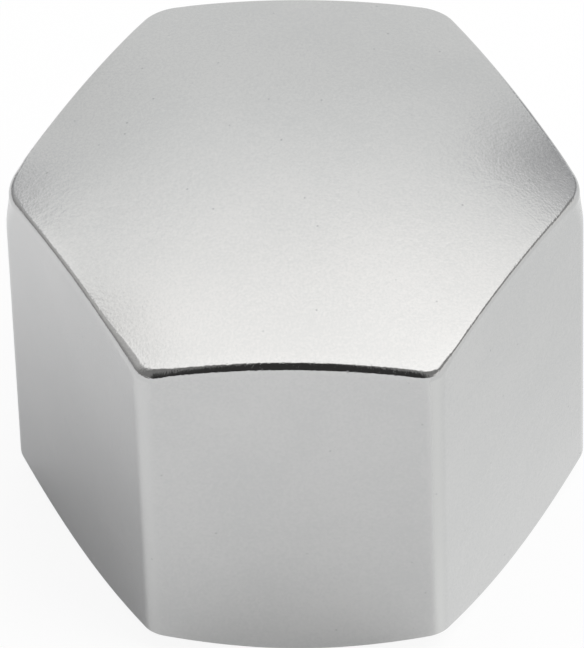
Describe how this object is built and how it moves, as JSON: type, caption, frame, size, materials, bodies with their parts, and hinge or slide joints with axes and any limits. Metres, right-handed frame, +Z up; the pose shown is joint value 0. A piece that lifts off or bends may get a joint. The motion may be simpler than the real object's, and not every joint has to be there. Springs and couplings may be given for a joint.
{
  "type": "cap nut",
  "caption": "Low crowned hexagon cap nut with a blind tapped hole: it holds on the end of a bolt or stud and covers it with a smooth domed top.",
  "frame": {"origin": "centre of the flat bearing face that the nut stands on", "axes": "+Z up the thread's axis to the top of the crown, X through two opposite upright edges, Y square to two of the flats"},
  "size_m": [0.0148, 0.013, 0.012],
  "materials": {
    "satin_stainless": "satin, tumbled"
  },
  "bodies": {
    "root": {"cap_nut": "satin_stainless"}
  },
  "joints": []
}
